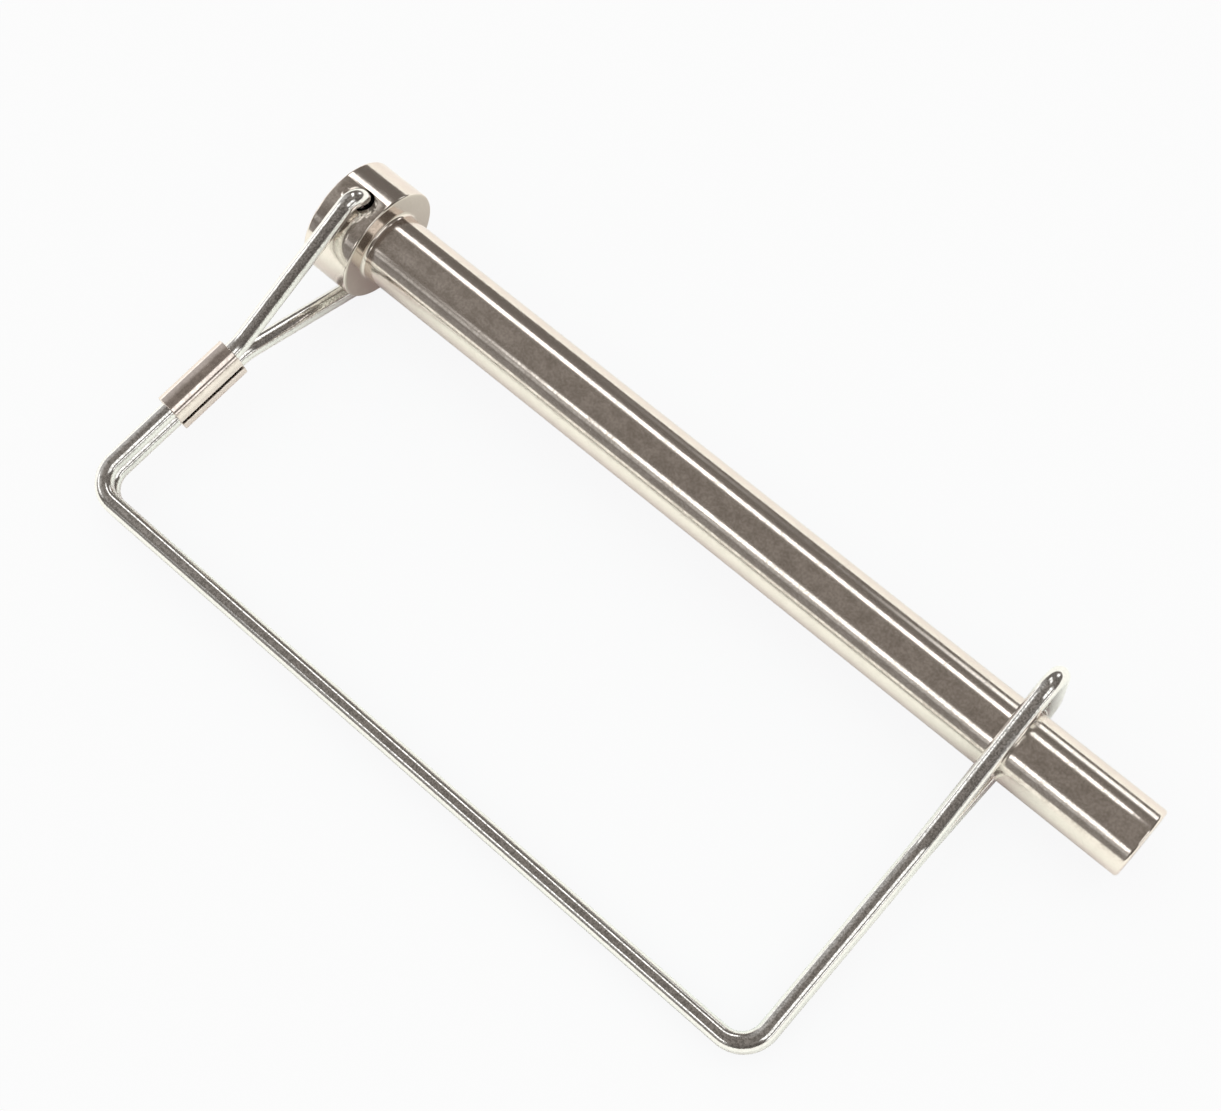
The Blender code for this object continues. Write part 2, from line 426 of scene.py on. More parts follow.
def mix(tree, factor, first, second, blend="MIX"):
    """Mix two colours, given as colours or as other nodes' outputs; gives its output."""
    def opaque(value):
        return value if isinstance(value, bpy.types.NodeSocket) else (*value, 1.0)

    node = add_node(
        tree, "ShaderNodeMix", {"Factor": factor, "A": opaque(first), "B": opaque(second)},
        data_type="RGBA", blend_type=blend,
    )
    return node.outputs["Result"]


def noise(tree, vector, scale, detail, **inputs):
    """Noise of about 0 to 1, which gathers round a half."""
    node = add_node(
        tree, "ShaderNodeTexNoise",
        {"Vector": vector, "Scale": scale, "Detail": detail, **inputs},
    )
    return node.outputs["Fac"]


def split(tree, vector):
    """The X, Y and Z of a vector."""
    return add_node(tree, "ShaderNodeSeparateXYZ", {"Vector": vector}).outputs


def new_group(name, inputs, output_names):
    """Start a shader node group; gives its tree, its inputs and its output node.

    The inputs are numbers with a default, or vectors where the default is None.
    """
    tree = bpy.data.node_groups.new(name, "ShaderNodeTree")
    for label, value in inputs.items():
        kind = "NodeSocketVector" if value is None else "NodeSocketFloat"
        socket = tree.interface.new_socket(label, in_out="INPUT", socket_type=kind)
        if value is not None:
            socket.default_value = value
    for label in output_names:
        tree.interface.new_socket(label, in_out="OUTPUT", socket_type="NodeSocketFloat")
    return tree, tree.nodes.new("NodeGroupInput").outputs, tree.nodes.new("NodeGroupOutput")


def shared(maker):
    """The node group that a function makes, built once and named after it."""
    return bpy.data.node_groups.get(maker.__name__) or maker()


def use_group(tree, maker, inputs, label=""):
    """Place a shared node group; gives its outputs."""
    return add_node(
        tree, "ShaderNodeGroup", inputs, node_tree=shared(maker), label=label
    ).outputs


# --------------------------------------------------------------------------------------
# Finishes
# --------------------------------------------------------------------------------------

# Noise values that become 0 and 1 in the mottle
MOTTLE_LOW = 0.37
MOTTLE_HIGH = 0.63
# Scratches are kept in patches, which are this many times finer than their spacing, and
# which start at the first noise value and are whole from the second
PATCHES_PER_SPACING = 2.3
PATCH_STARTS = 0.52
PATCH_FULL = 0.6
# How far the plating is turned away, from 0 head on to 1 edge on: the mottle is full up to
# the first value and faintest from the second, and the tint grows between the last two
MOTTLE_FULL = 0.14
MOTTLE_FAINTEST = 0.34
TINT_STARTS = 0.40
TINT_FULL = 0.72
# Distances from the shoulder's face, along the pin: it is fully dull and darkened by painted
# shade up to the first, and the plating is clean from the second
SHOULDER_DULL_SHADED = 0.05 * MM
SHOULDER_CLEAN = 0.15 * MM


def plating_mottle():
    """Uneven plating: wide soft clouds and fine specks, both 0 to 1."""
    tree, given, result = new_group(
        "plating_mottle", {"Vector": None, "Cloud Size": 4.0, "Speck Size": 0.4},
        ["Cloud", "Speck"],
    )
    for label, detail in (("Cloud", 3.0), ("Speck", 2.0)):
        scale = calculate(tree, "DIVIDE", 1.0, given[label + " Size"])
        uneven = noise(tree, given["Vector"], scale, detail, Roughness=0.6)
        patches = soft_step(tree, uneven, MOTTLE_LOW, MOTTLE_HIGH)
        tree.links.new(patches, result.inputs[label])
    return tree


def tool_lines():
    """Fine parallel lines that a tool or a die leaves, running along the vector's Z."""
    tree, given, result = new_group(
        "tool_lines", {"Vector": None, "Line Spacing": 0.2, "Line Length": 8.0}, ["Lines"]
    )
    across = calculate(tree, "DIVIDE", 1.0, given["Line Spacing"])
    along = calculate(tree, "DIVIDE", 1.0, given["Line Length"])
    scale = add_node(tree, "ShaderNodeCombineXYZ", {"X": across, "Y": across, "Z": along})
    place = add_node(
        tree, "ShaderNodeVectorMath", {0: given["Vector"], 1: scale.outputs["Vector"]},
        operation="MULTIPLY",
    )
    lines = noise(tree, place.outputs["Vector"], scale=1.0, detail=2.0, Roughness=0.55)
    tree.links.new(lines, result.inputs["Lines"])
    return tree


def hair_scratches():
    """Sparse thin curved scratches from handling: 1 on a scratch and 0 off it."""
    tree, given, result = new_group(
        "hair_scratches", {"Vector": None, "Spacing": 9.0, "Width": 0.006}, ["Scratch"]
    )
    scale = calculate(tree, "DIVIDE", 1.0, given["Spacing"])
    # A scratch lies where the noise passes through its middle value
    curves = noise(tree, given["Vector"], scale, detail=1.0, Distortion=0.3)
    distance = calculate(tree, "ABSOLUTE", calculate(tree, "SUBTRACT", curves, 0.5))
    scratch = soft_step(tree, distance, given["Width"], 0.0)
    patch_scale = calculate(tree, "MULTIPLY", scale, PATCHES_PER_SPACING)
    patches = noise(tree, given["Vector"], patch_scale, detail=0.0)
    kept = soft_step(tree, patches, PATCH_STARTS, PATCH_FULL)
    tree.links.new(calculate(tree, "MULTIPLY", scratch, kept), result.inputs["Scratch"])
    return tree


def own_coordinates(tree, place):
    """Position in millimetres in the frame that place gives, from Object coordinates."""
    coordinates = add_node(tree, "ShaderNodeTexCoord")
    mapping = add_node(
        tree, "ShaderNodeMapping",
        {"Vector": coordinates.outputs["Object"], "Location": place.to_translation(),
         "Rotation": place.to_euler(), "Scale": (MM, MM, MM)},
        vector_type="TEXTURE",
    )
    return mapping.outputs["Vector"]


def pin_coordinates(tree):
    """Position in the pin's own frame."""
    return own_coordinates(tree, drilled_frame())


def bail_coordinates(tree):
    """Position in the bail's frame."""
    return own_coordinates(tree, bail_frame())


def wire_coordinates(tree):
    """Place across and along the wire."""
    return add_node(tree, "ShaderNodeAttribute", attribute_name="drawn").outputs["Vector"]


def turning_lines(tree, vector):
    """Coordinates of lines that go round the pin, next to one another along it."""
    place = split(tree, vector)
    turned = add_node(
        tree, "ShaderNodeCombineXYZ", {"X": place["X"], "Y": 0.0, "Z": place["Y"]}
    )
    return turned.outputs["Vector"]


def shoulder_face(tree, vector):
    """1 on the flat face of the shoulder, which lies at 0 along the pin."""
    distance = calculate(tree, "ABSOLUTE", split(tree, vector)["X"])
    return soft_step(tree, distance, SHOULDER_CLEAN / MM, SHOULDER_DULL_SHADED / MM)


def plating_colour(tree, finish, mottle, scratch, dull_shaded_face):
    """Colour of the plating: bright, with dull clouds, specks and scratches, and a duller face
    that also carries painted shade.
    """
    turned_away = add_node(tree, "ShaderNodeLayerWeight", {"Blend": 0.5}).outputs["Facing"]
    head_on = soft_step(tree, turned_away, MOTTLE_FAINTEST, MOTTLE_FULL)
    shown = add_up(tree, finish.edge_mottle, (head_on, 1.0 - finish.edge_mottle))
    dull = add_up(
        tree, 0.0, (mottle["Cloud"], finish.cloud_amount), (mottle["Speck"], finish.speck_amount)
    )
    dull = calculate(tree, "MULTIPLY", dull, shown)
    dull = add_up(tree, dull, (scratch, finish.scratch_dullness))
    # The shoulder's face is darkened: partly a duller turned finish, partly painted shade for the
    # shadowed floor that it mirrors
    if dull_shaded_face is not None:
        dull = add_up(tree, dull, (dull_shaded_face, finish.face_dullness))
    plating = mix(tree, dull, finish.bright_colour, finish.dull_colour)
    edge_on = soft_step(tree, turned_away, TINT_STARTS, TINT_FULL)
    plating = mix(tree, edge_on, plating, finish.edge_tint, "MULTIPLY")
    # Rays from the matt floor see black, so that the metal throws no bright patches on it
    from_floor = add_node(tree, "ShaderNodeLightPath").outputs["Is Diffuse Ray"]
    return mix(tree, from_floor, plating, BLACK)


def plated_metal(name, finish, coordinates, line_coordinates=None, dull_shaded_faces=None):
    """Plated metal with clouds and specks in its plating, tool lines and scratches.

    coordinates builds the coordinates of the plating. From these, line_coordinates builds those
    of the tool lines, if they differ, and dull_shaded_faces a mask of the faces that are duller
    and carry painted shade.
    """
    material = bpy.data.materials.new(name)
    material.use_nodes = True
    tree = material.node_tree
    vector = coordinates(tree)
    mottle = use_group(tree, plating_mottle, {
        "Vector": vector, "Cloud Size": finish.cloud_size / MM,
        "Speck Size": finish.speck_size / MM,
    })
    lines = use_group(tree, tool_lines, {
        "Vector": line_coordinates(tree, vector) if line_coordinates else vector,
        "Line Spacing": finish.line_spacing / MM, "Line Length": finish.line_length / MM,
    })["Lines"]
    scratch = use_group(tree, hair_scratches, {
        "Vector": vector, "Spacing": finish.scratch_spacing / MM,
    })["Scratch"]
    dull_shaded_face = dull_shaded_faces(tree, vector) if dull_shaded_faces else None

    roughness = add_up(
        tree, finish.roughness, (mottle["Cloud"], finish.cloud_roughness),
        (mottle["Speck"], finish.speck_roughness), (scratch, finish.scratch_roughness),
    )
    height = add_up(
        tree, 0.0, (mottle["Speck"], finish.speck_height / MM),
        (lines, finish.line_height / MM), (scratch, -finish.scratch_depth / MM),
    )
    bump = add_node(
        tree, "ShaderNodeBump", {"Height": height, "Strength": 1.0, "Distance": MM}
    )
    shader = tree.nodes["Principled BSDF"]
    shader.inputs["Metallic"].default_value = 1.0
    plating = plating_colour(tree, finish, mottle, scratch, dull_shaded_face)
    tree.links.new(plating, shader.inputs["Base Color"])
    tree.links.new(roughness, shader.inputs["Roughness"])
    tree.links.new(bump.outputs["Normal"], shader.inputs["Normal"])
    return material


# --------------------------------------------------------------------------------------
# Studio
# --------------------------------------------------------------------------------------

class SoftBox(NamedTuple):
    """One soft box round the set, which only the metal mirrors.

    Azimuth, elevation and tilt are in degrees. The half sizes and the softness of the ends
    and of the long edges are tangents of angles, and taper is how far its ends narrow.
    """

    name: str
    azimuth: float
    elevation: float
    tilt: float
    half_width: float
    half_height: float
    end_softness: float
    edge_softness: float
    taper: float
    brightness: float


# The front is the side of the bail, at -Y, and the tip is at +X
SOFT_BOXES = (
    SoftBox("front strip", -96.5, 36.2, -15.0, 0.26, 0.092, 0.07, 0.018, 1.0, 1.9),
    SoftBox("front card", -98.0, 25.0, -10.0, 0.40, 0.070, 0.10, 0.040, 0.0, 0.39),
    SoftBox("front glow", -98.0, 10.0, 0.0, 0.50, 0.170, 0.15, 0.080, 0.0, 0.115),
    SoftBox("back strip", 113.0, 47.9, -42.6, 0.36, 0.088, 0.04, 0.016, 0.5, 1.9),
    SoftBox("back spot", 88.0, 18.5, 0.0, 0.16, 0.115, 0.05, 0.050, 0.5, 1.3),
    SoftBox("back glow", 105.0, 15.0, 0.0, 0.03, 0.090, 0.04, 0.040, 0.0, 0.20),
    SoftBox("high tip card", 4.0, 44.5, 0.0, 0.36, 0.245, 0.06, 0.025, 0.0, 1.3),
    SoftBox("low tip card", 4.0, 11.0, 0.0, 0.30, 0.105, 0.06, 0.030, 0.0, 1.3),
    SoftBox("corner card", -149.0, 30.0, 0.0, 0.20, 0.170, 0.05, 0.030, 0.0, 1.3),
    SoftBox("low head card", -175.0, 3.0, 0.0, 0.32, 0.160, 0.06, 0.050, 0.0, 1.2),
    SoftBox("head glow", -175.0, 25.0, 0.0, 0.50, 0.650, 0.30, 0.500, 0.0, 0.31),
)
# A soft box shines only forwards, and fully where the cosine of the angle from its middle
# is past this
FULLY_AHEAD = 0.05
# Heights in the room, as sines of the elevation: the walls turn into the ceiling between
# the first two, and the horizon is blurred by the last
WALL_TOP = 0.3
CEILING_EDGE = 0.95
HORIZON_BLUR = 0.01


def direction(azimuth, elevation):
    """Unit vector at an azimuth from +X and an elevation over the floor."""
    level = math.cos(elevation)
    return Vector((math.cos(azimuth) * level, math.sin(azimuth) * level, math.sin(elevation)))


def soft_box():
    """Light of one soft box in a direction, 0 to 1."""
    tree, given, result = new_group(
        "soft_box",
        {"Direction": None, "Facing": None, "Across": None, "Upright": None,
         "Half Width": 0.2, "Half Height": 0.1, "End Softness": 0.05, "Edge Softness": 0.05,
         "Taper": 0.0},
        ["Light"],
    )

    def along(axis):
        """How far the direction goes along one of the box's axes."""
        node = add_node(
            tree, "ShaderNodeVectorMath", {0: given["Direction"], 1: given[axis]},
            operation="DOT_PRODUCT",
        )
        return node.outputs["Value"]

    def within(axis, reach, blur):
        """1 inside the reach on one axis, and a smooth fall to 0 outside it."""
        slant = calculate(tree, "ABSOLUTE", calculate(tree, "DIVIDE", along(axis), ahead))
        outer = calculate(tree, "ADD", reach, blur)
        inner = calculate(tree, "SUBTRACT", reach, blur)
        return soft_step(tree, slant, outer, inner)

    ahead = along("Facing")
    ends = within("Across", given["Half Width"], given["End Softness"])
    past_end = calculate(tree, "SUBTRACT", 1.0, ends)
    narrowing = calculate(tree, "MULTIPLY", past_end, given["Taper"])
    kept = calculate(tree, "SUBTRACT", 1.0, narrowing)
    height = calculate(tree, "MULTIPLY", given["Half Height"], kept)
    edges = within("Upright", height, given["Edge Softness"])
    light = calculate(tree, "MULTIPLY", soft_step(tree, ahead, 0.0, FULLY_AHEAD), ends)
    tree.links.new(calculate(tree, "MULTIPLY", light, edges), result.inputs["Light"])
    return tree


def soft_box_light(tree, box, towards):
    """Light of a soft box in the direction towards."""
    facing = direction(math.radians(box.azimuth), math.radians(box.elevation))
    across = Vector((0, 0, 1)).cross(facing).normalized()
    across.rotate(Matrix.Rotation(math.radians(box.tilt), 3, facing))
    light = use_group(tree, soft_box, {
        "Direction": towards, "Facing": facing, "Across": across,
        "Upright": facing.cross(across), "Half Width": box.half_width,
        "Half Height": box.half_height, "End Softness": box.end_softness,
        "Edge Softness": box.edge_softness, "Taper": box.taper,
    }, label=box.name)["Light"]
    return calculate(tree, "MULTIPLY", light, box.brightness)


def mirrored_room(tree, stage, towards, height):
    """What the metal mirrors in each direction: a dim room with soft boxes, white below."""
    light = 0.0
    for box in SOFT_BOXES:
        light = calculate(tree, "MAXIMUM", light, soft_box_light(tree, box, towards))
    upwards = soft_step(tree, height, WALL_TOP, CEILING_EDGE)
    room = mix(tree, upwards, stage.wall_colour, stage.ceiling_colour)
    lit_room = mix(tree, 1.0, room, light, "ADD")
    over_horizon = soft_step(tree, height, -HORIZON_BLUR, HORIZON_BLUR)
    return mix(tree, over_horizon, WHITE, lit_room)


def studio_world(stage):
    """Surroundings: plain to the camera, soft boxes to the metal, a soft sky to the floor."""
    world = bpy.data.worlds.new("studio")
    world.use_nodes = True
    world.cycles.sampling_method = "NONE"
    tree = world.node_tree
    rays = add_node(tree, "ShaderNodeLightPath").outputs
    towards = add_node(tree, "ShaderNodeTexCoord").outputs["Generated"]
    height = split(tree, towards)["Z"]
    # The sky changes with the square of its height, so that a level floor is lit by the
    # mean of its colours at the horizon and overhead
    overhead = [2 * lit - low for lit, low in zip(stage.mirrored_floor, stage.horizon_light)]
    sky = mix(tree, calculate(tree, "POWER", height, 2.0), stage.horizon_light, overhead)
    plain = mix(tree, rays["Is Diffuse Ray"], stage.floor_colour, sky)
    room = mirrored_room(tree, stage, towards, height)
    seen = mix(tree, rays["Is Glossy Ray"], plain, room)
    tree.links.new(seen, tree.nodes["Background"].inputs["Color"])
    bpy.context.scene.world = world


def floor_material(stage):
    """Pale matt floor: the metal mirrors its full shadow, the camera sees little of it."""
    material = bpy.data.materials.new("pale_floor")
    material.use_nodes = True
    material.cycles.emission_sampling = "NONE"
    tree = material.node_tree
    matt = tree.nodes["Principled BSDF"]
    matt.inputs["Base Color"].default_value = (*WHITE, 1.0)
    matt.inputs["Roughness"].default_value = 1.0
    matt.inputs["Specular IOR Level"].default_value = 0.0
    # The plain share makes up what the lit share lacks of the floor's colour
    lit_share = stage.shadow_depth
    plain_share = 1.0 - lit_share
    plain_colour = [
        (whole - lit_share * lit) / plain_share
        for whole, lit in zip(stage.floor_colour, stage.mirrored_floor)
    ]
    plain = add_node(tree, "ShaderNodeEmission", {"Color": (*plain_colour, 1.0)})
    rays = add_node(tree, "ShaderNodeLightPath").outputs
    seen = calculate(tree, "MAXIMUM", rays["Is Camera Ray"], rays["Is Transmission Ray"])
    both = add_node(
        tree, "ShaderNodeMixShader",
        {0: calculate(tree, "MULTIPLY", seen, plain_share), 1: matt.outputs["BSDF"],
         2: plain.outputs["Emission"]},
    )
    output = tree.nodes["Material Output"]
    tree.links.new(both.outputs["Shader"], output.inputs["Surface"])
    return material


def add_floor(stage):
    """Add the square floor under the object."""
    bm = bmesh.new()
    bmesh.ops.create_grid(bm, x_segments=1, y_segments=1, size=stage.floor_size / 2)
    mesh = bpy.data.meshes.new("floor")
    bm.to_mesh(mesh)
    bm.free()
    return add_piece("floor", mesh, floor_material(stage))


def add_camera(stage):
    """Add the camera, which looks at its aim from a distance and a direction."""
    camera = bpy.data.objects.new("camera", bpy.data.cameras.new("camera"))
    bpy.context.scene.collection.objects.link(camera)
    camera.data.lens = stage.lens
    camera.data.clip_start = 0.01
    camera.data.clip_end = 100.0
    back = direction(stage.azimuth, stage.elevation)
    turn = back.to_track_quat("Z", "Y").to_matrix().to_4x4()
    roll = Matrix.Rotation(stage.camera_roll, 4, "Z")
    place = Matrix.Translation(Vector(stage.aim) + back * stage.distance)
    camera.matrix_world = place @ turn @ roll
    return camera


# --------------------------------------------------------------------------------------
# Settings
# --------------------------------------------------------------------------------------

def length(name, description, default):
    """A length that a user may change."""
    return FloatProperty(
        name=name, description=description, default=default, unit="LENGTH",
        subtype="DISTANCE", precision=5,
    )


def angle(name, description, degrees):
    """An angle that a user may change."""
    return FloatProperty(
        name=name, description=description, default=math.radians(degrees), unit="ROTATION",
        subtype="ANGLE",
    )


def number(name, description, default, **limits):
    """A plain number that a user may change."""
    return FloatProperty(name=name, description=description, default=default, **limits)


def share(name, description, default):
    """A number from 0 to 1 that a user may change."""
    return FloatProperty(
        name=name, description=description, default=default, min=0.0, max=1.0,
        subtype="FACTOR",
    )


def count(name, description, default, least):
    """A whole number that a user may change."""
    return IntProperty(name=name, description=description, default=default, min=least)


def colour(name, description, default, highest=1.0):
    """A colour that a user may change."""
    return FloatVectorProperty(
        name=name, description=description, default=default, size=3, subtype="COLOR",
        min=0.0, max=highest,
    )


class SnapPinSizes(bpy.types.PropertyGroup):
    """Sizes of the turned pin."""

    shank_diameter: length("Shank Diameter", "Diameter of the shank", 9.5 * MM)
    shank_length: length("Shank Length", "Length from the shoulder to the tip", 118.3 * MM)
    head_diameter: length("Head Diameter", "Diameter of the head", 15.7 * MM)
    head_length: length("Head Length", "Length of the head along the pin", 7.35 * MM)
    head_back_edge: length("Head Back Edge", "Edge radius of the head's end face", 0.3 * MM)
    head_front_edge: length("Head Front Edge", "Edge radius at the shoulder", 0.3 * MM)
    shoulder_fillet: length("Shoulder Fillet", "Fillet between shoulder and shank", 0.5 * MM)
    tip_edge: length("Tip Edge", "Edge radius of the tip", 0.4 * MM)
    hole_x: length("Hole Place", "Place of the cross hole, from the shoulder", -3.3 * MM)
    hole_diameter: length("Hole Diameter", "Diameter of the cross hole", 3.1 * MM)
    hole_deburr: length("Hole Deburr", "Least depth of the flare at the mouth", 0.02 * MM)
    hole_flare: number("Hole Flare", "Slope of the flare at the hole's mouth", 0.15)
    roll: angle("Roll", "Turn of the head's hole against the bail, about the pin", 7.2)
    turning_steps: count("Turning Steps", "Steps round the pin", 288, 32)


class WireBailSizes(bpy.types.PropertyGroup):
    """Sizes of the spring-wire bail, on the wire's centre line."""

    diameter: length("Diameter", "Diameter of the wire", 2.4 * MM)
    strand_gap: length("Strand Gap", "Gap between the two strands", 0.1 * MM)
    long_side_y: length("Long Side", "Place of the side that runs along the pin", -47.3 * MM)
    head_side_x: length("Head Side", "Place of the side beside the head", -7.07 * MM)
    head_side_slope: number("Head Side Slope", "Slant of the side beside the head", 0.075)
    loop_side_x: length("Loop Side", "Place of the side near the tip", 99.62 * MM)
    corner_radius: length("Corner Radius", "Bend radius of the square corners", 3.8 * MM)
    end_depth: length("End Depth", "Distance of the cut ends from the pin's axis", 2.0 * MM)
    hook_reach: length("Hook Reach", "Distance of the hooks' corners from the axis", 10.55 * MM)
    hook_radius: length("Hook Radius", "Bend radius of the hooks", 1.8 * MM)
    leg_start_y: length("Leg Start", "Place where the legs leave the strands", -22.0 * MM)
    leg_radius: length("Leg Radius", "Bend radius where the legs start", 6.0 * MM)
    kink_y: length("Kink", "Place where the loop starts to open", -16.8 * MM)
    kink_radius: length("Kink Radius", "Bend radius where the loop opens", 8.0 * MM)
    prong_slope: number("Prong Slope", "Rise of the loop's prongs", 0.312)
    loop_end_y: length("Loop End", "Place of the loop's end bar", 8.25 * MM)
    loop_corner_radius: length("Loop Corner", "Bend radius of the loop's corners", 3.0 * MM)
    ring_sides: count("Ring Sides", "Sides of the wire's section", 48, 12)
    straight_step: length("Straight Step", "Spacing of sections on straights", 2.5 * MM)
    bend_step: angle("Bend Step", "Turn between sections in bends", 3.0)


class CrimpSleeveSizes(bpy.types.PropertyGroup):
    """Sizes of the crimped sleeve."""

    thickness: length("Thickness", "Thickness of the sheet", 0.62 * MM)
    clearance: length("Clearance", "Gap between the wire and the sleeve", 0.22 * MM)
    low_y: length("Far End", "Place of the end away from the head", -33.95 * MM)
    high_y: length("Near End", "Place of the end near the head", -23.4 * MM)
    seam_gap: length("Seam Gap", "Width of the open seam", 0.8 * MM)
    edge: length("Edge", "Edge radius of the sheet", 0.12 * MM)
    arc_steps: count("Arc Steps", "Steps round each end of the section", 48, 8)


class PlatedFinish(bpy.types.PropertyGroup):
    """Look of one plated surface."""

    bright_colour: colour("Bright Colour", "Clean plating", (0.90, 0.845, 0.775))
    dull_colour: colour("Dull Colour", "Dulled plating", (0.60, 0.55, 0.49))
    edge_tint: colour("Edge Tint", "Tint of the plating seen edge on", (0.90, 0.84, 0.85))
    roughness: share("Roughness", "Roughness of clean plating", 0.09)
    cloud_size: length("Cloud Size", "Size of the soft clouds in the plating", 2.0 * MM)
    cloud_amount: share("Cloud Amount", "How far clouds dull the plating", 0.5)
    cloud_roughness: share("Cloud Roughness", "Roughness that clouds add", 0.04)
    speck_size: length("Speck Size", "Size of the specks in the plating", 0.35 * MM)
    speck_amount: share("Speck Amount", "How far specks dull the plating", 0.45)
    speck_roughness: share("Speck Roughness", "Roughness that specks add", 0.05)
    speck_height: length("Speck Height", "Height of the specks", 0.0006 * MM)
    edge_mottle: share("Edge Mottle", "Share of clouds and specks seen edge on", 0.22)
    line_spacing: length("Line Spacing", "Spacing of the tool lines", 0.12 * MM)
    line_length: length("Line Length", "Length of the tool lines", 9.0 * MM)
    line_height: length("Line Height", "Height of the tool lines", 0.0008 * MM)
    scratch_spacing: length("Scratch Spacing", "Rough distance between scratches", 9.0 * MM)
    scratch_dullness: share("Scratch Dullness", "How far a scratch dulls the plating", 0.15)
    scratch_roughness: share("Scratch Roughness", "Roughness that a scratch adds", 0.10)
    scratch_depth: length("Scratch Depth", "Depth of a scratch", 0.0005 * MM)
    # Darkening of the shoulder's face: partly a duller finish, partly painted shade
    face_dullness: share("Face Dullness", "How dull the shoulder's flat face is", 0.9)


class SnapPinStage(bpy.types.PropertyGroup):
    """Floor, surroundings and camera."""

    floor_colour: colour("Floor Colour", "Colour of the floor and background", (0.97, 0.97, 0.97))
    floor_size: length("Floor Size", "Width of the floor", 24.0)
    shadow_depth: share("Shadow Depth", "Share of the shadow that the floor shows", 0.06)
    mirrored_floor: colour(
        "Mirrored Floor", "Open floor that the metal mirrors", (1.11, 1.09, 1.015), highest=2.0
    )
    horizon_light: colour(
        "Horizon Light", "Colour of the sky at the horizon, as it lights the floor",
        (0.50, 0.15, 0.20),
    )
    wall_colour: colour("Wall Colour", "Dim walls that the metal mirrors", (0.158, 0.141, 0.130))
    ceiling_colour: colour(
        "Ceiling Colour", "Dim ceiling that the metal mirrors", (0.245, 0.220, 0.202)
    )
    lens: number("Lens", "Focal length in millimetres", 67.8, min=1.0)
    distance: length("Distance", "Distance from the camera to its aim", 0.2773)
    azimuth: angle("Azimuth", "Direction of the camera, from +X", -43.032)
    elevation: angle("Elevation", "Height of the camera over the floor", 66.827)
    camera_roll: angle("Camera Roll", "Turn of the camera about its own axis", -5.833)
    aim: FloatVectorProperty(
        name="Aim", description="Point that the camera looks at",
        default=(-0.006245, 0.006429, 0.008), subtype="TRANSLATION", unit="LENGTH",
    )


# What differs from the pin's finish, which has the settings' own defaults
FINISHES = {
    "wire_finish": {
        "bright_colour": (0.95, 0.945, 0.92), "dull_colour": (0.46, 0.455, 0.43),
        "edge_tint": (1.0, 1.0, 1.0), "cloud_size": 0.9 * MM, "cloud_amount": 0.15,
        "speck_size": 0.22 * MM, "speck_amount": 0.85, "speck_height": 0.001 * MM,
    },
    "sleeve_finish": {
        "bright_colour": (0.92, 0.835, 0.775), "dull_colour": (0.60, 0.54, 0.49),
        "edge_tint": (0.95, 0.92, 0.92),
    },
}


# --------------------------------------------------------------------------------------
# Operators
# --------------------------------------------------------------------------------------

class SNAPPIN_OT_add_pin(bpy.types.Operator):
    """Add the turned, cross-drilled steel pin"""

    bl_idname = "snap_pin.add_pin"
    bl_label = "Add Pin"

    def execute(self, context):
        mesh = drilled_mesh(context.scene.snap_pin)
        mesh.name = "turned_pin"
        mesh.transform(drilled_frame())
        material = plated_metal(
            "turned_plated_steel", context.scene.pin_finish, pin_coordinates, turning_lines,
            shoulder_face,
        )
        piece = add_piece("turned_pin", mesh, material)
        keep_flats_flat(piece)
        hand_over(piece, "pin", "pin")
        return {"FINISHED"}


class SNAPPIN_OT_add_wire_bail(bpy.types.Operator):
    """Add the bent spring-wire bail"""

    bl_idname = "snap_pin.add_wire_bail"
    bl_label = "Add Wire Bail"

    def execute(self, context):
        bm = bent_wire(context.scene.wire_bail)
        bmesh.ops.transform(bm, matrix=bail_frame(), verts=bm.verts)
        mesh = smooth_mesh(bm, "bent_wire")
        material = plated_metal(
            "drawn_plated_wire", context.scene.wire_finish, wire_coordinates
        )
        piece = add_piece("bent_wire", mesh, material)
        hand_over(piece, "bail", "wire_bail")
        return {"FINISHED"}


class SNAPPIN_OT_add_crimp_sleeve(bpy.types.Operator):
    """Add the crimped sleeve that holds both strands together"""

    bl_idname = "snap_pin.add_crimp_sleeve"
    bl_label = "Add Crimped Sleeve"

    def execute(self, context):
        sleeve = context.scene.crimp_sleeve
        mesh = smooth_mesh(wrapped_sheet(sleeve, context.scene.wire_bail), "rolled_sleeve")
        material = plated_metal(
            "pressed_plated_sheet", context.scene.sleeve_finish, bail_coordinates
        )
        piece = add_piece("rolled_sleeve", mesh, material)
        give_thickness(piece, sleeve)
        hand_over(piece, "bail", "crimp_sleeve")
        return {"FINISHED"}


class SNAPPIN_OT_set_stage(bpy.types.Operator):
    """Set the floor, the surroundings and the camera"""

    bl_idname = "snap_pin.set_stage"
    bl_label = "Set Stage"

    def execute(self, context):
        stage = context.scene.snap_pin_stage
        floor = add_floor(stage)
        studio_world(stage)
        context.scene.camera = add_camera(stage)
        context.scene.view_settings.view_transform = "Standard"
        return {"FINISHED"}


# --------------------------------------------------------------------------------------
# Panel and registration
# --------------------------------------------------------------------------------------

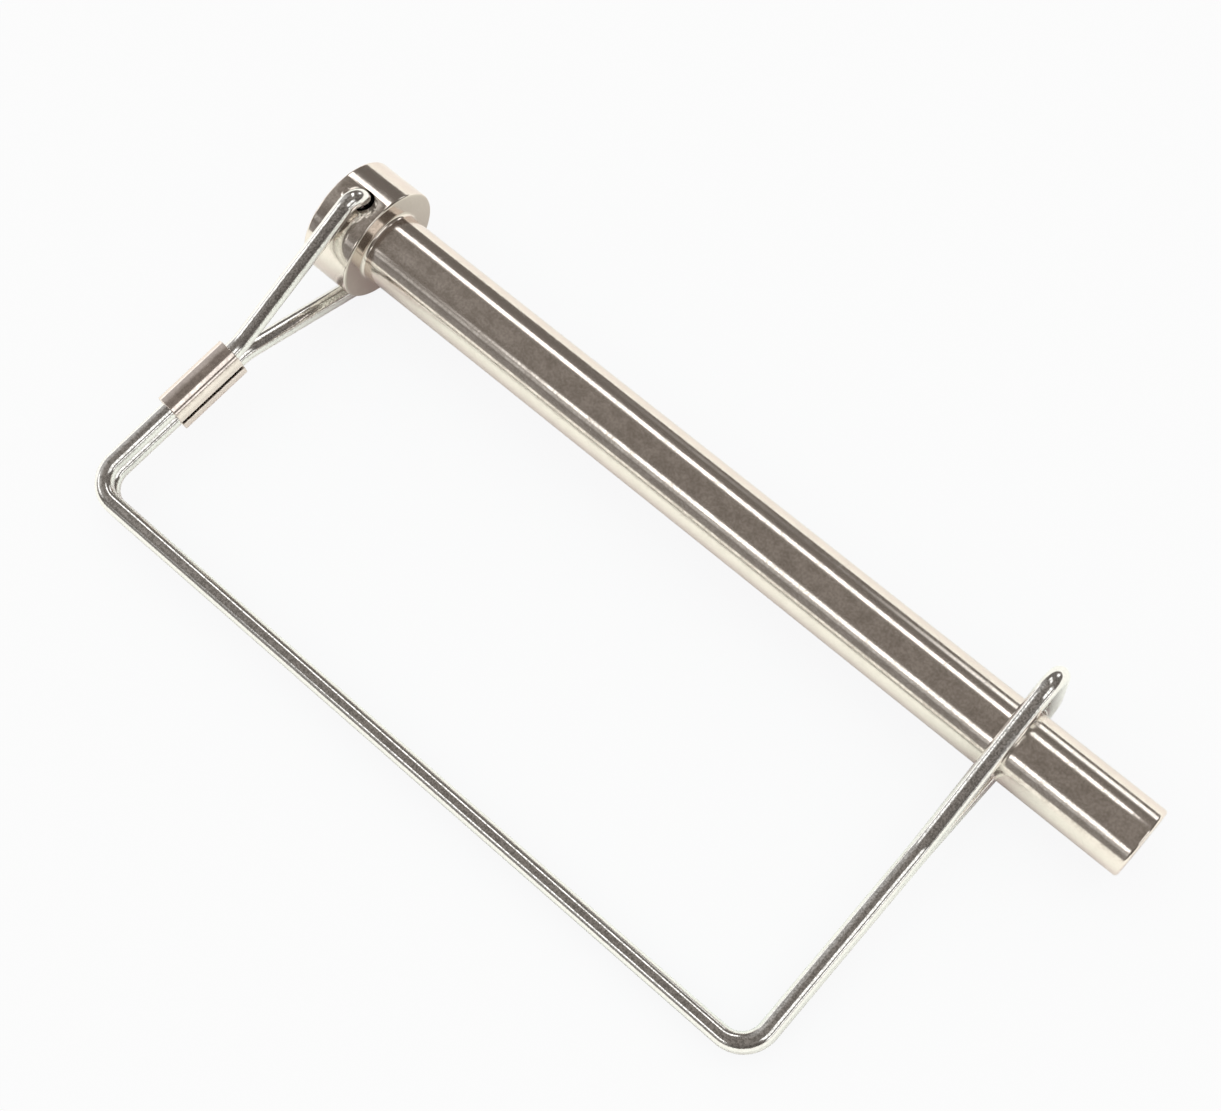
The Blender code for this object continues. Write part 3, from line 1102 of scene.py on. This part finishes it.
PANEL_ROWS = (
    ("Pin", "snap_pin.add_pin", ("snap_pin", "pin_finish")),
    ("Wire bail", "snap_pin.add_wire_bail", ("wire_bail", "wire_finish")),
    ("Crimped sleeve", "snap_pin.add_crimp_sleeve", ("crimp_sleeve", "sleeve_finish")),
    ("Stage", "snap_pin.set_stage", ("snap_pin_stage",)),
)


class SNAPPIN_PT_panel(bpy.types.Panel):
    """Snap pin pieces and their settings"""

    bl_idname = "SNAPPIN_PT_panel"
    bl_label = "Snap Pin"
    bl_space_type = "VIEW_3D"
    bl_region_type = "UI"
    bl_category = "Snap Pin"

    def draw(self, context):
        for title, operator, groups in PANEL_ROWS:
            box = self.layout.box()
            box.label(text=title)
            for name in groups:
                settings = getattr(context.scene, name)
                for key in settings.bl_rna.properties.keys():
                    if key not in {"rna_type", "name"}:
                        box.prop(settings, key)
            box.operator(operator)


SETTINGS = {
    "snap_pin": SnapPinSizes,
    "wire_bail": WireBailSizes,
    "crimp_sleeve": CrimpSleeveSizes,
    "pin_finish": PlatedFinish,
    "wire_finish": PlatedFinish,
    "sleeve_finish": PlatedFinish,
    "snap_pin_stage": SnapPinStage,
}

CLASSES = (
    SnapPinSizes, WireBailSizes, CrimpSleeveSizes, PlatedFinish, SnapPinStage,
    SNAPPIN_OT_add_pin, SNAPPIN_OT_add_wire_bail, SNAPPIN_OT_add_crimp_sleeve,
    SNAPPIN_OT_set_stage, SNAPPIN_PT_panel,
)


def register():
    """Register the classes and the settings they use."""
    for cls in CLASSES:
        bpy.utils.register_class(cls)
    for name, group in SETTINGS.items():
        setattr(bpy.types.Scene, name, PointerProperty(type=group))


def unregister():
    """Remove the settings and the classes."""
    for name in SETTINGS:
        delattr(bpy.types.Scene, name)
    for cls in reversed(CLASSES):
        bpy.utils.unregister_class(cls)


def main():
    """Build the object and its stage."""
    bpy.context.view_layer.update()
    register()
    for name, values in FINISHES.items():
        for key, value in values.items():
            setattr(getattr(bpy.context.scene, name), key, value)
    bpy.ops.snap_pin.add_pin()
    bpy.ops.snap_pin.add_wire_bail()
    bpy.ops.snap_pin.add_crimp_sleeve()
    bpy.ops.snap_pin.set_stage()


if __name__ == "__main__":
    main()
